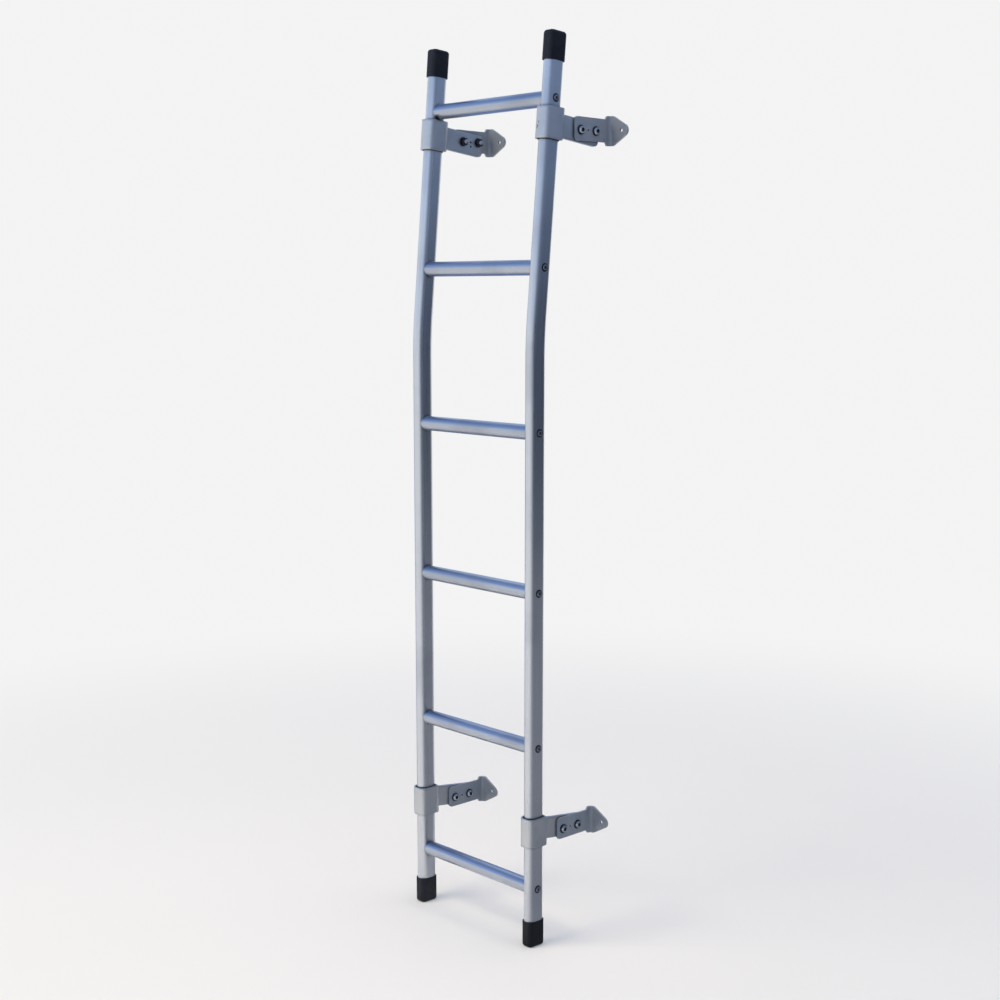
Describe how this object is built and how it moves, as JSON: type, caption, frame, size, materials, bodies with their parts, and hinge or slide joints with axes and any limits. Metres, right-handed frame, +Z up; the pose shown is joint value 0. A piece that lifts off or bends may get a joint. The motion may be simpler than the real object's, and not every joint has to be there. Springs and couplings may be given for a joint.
{
  "type": "van rear door ladder",
  "caption": "Rear door ladder: bent tube stiles joined by round rungs, capped ends, held off the door by clamped stand-off brackets with pointed feet.",
  "frame": {"origin": "bolt hole of the lower left foot, on the face that meets the door", "axes": "+X along the rungs to the right seen by someone climbing, +Y into the door, +Z up the lower part of the stiles"},
  "size_m": [0.3953, 0.2149, 1.7423],
  "materials": {
    "frame_metal": "satin silver anodised tube",
    "bracket_metal": "satin silver-grey painted steel plate",
    "cap_plastic": "moulded black plastic",
    "liner_rubber": "matt black rubber",
    "fastener_steel": "zinc plated socket screws and nuts"
  },
  "bodies": {
    "root": {"rung_1": "frame_metal", "rung_2": "frame_metal", "rung_3": "frame_metal", "rung_4": "frame_metal", "rung_5": "frame_metal", "rung_6": "frame_metal", "left_stile": "frame_metal", "bottom_left_cap": "cap_plastic", "top_left_cap": "cap_plastic", "lower_left_clamp": "bracket_metal", "lower_left_clamp_liner": "liner_rubber", "lower_left_foot": "bracket_metal", "upper_left_clamp": "bracket_metal", "upper_left_clamp_liner": "liner_rubber", "upper_left_foot": "bracket_metal", "right_stile": "frame_metal", "bottom_right_cap": "cap_plastic", "top_right_cap": "cap_plastic", "lower_right_clamp": "bracket_metal", "lower_right_clamp_liner": "liner_rubber", "lower_right_foot": "bracket_metal", "upper_right_clamp": "bracket_metal", "upper_right_clamp_liner": "liner_rubber", "upper_right_foot": "bracket_metal"}
  },
  "joints": []
}
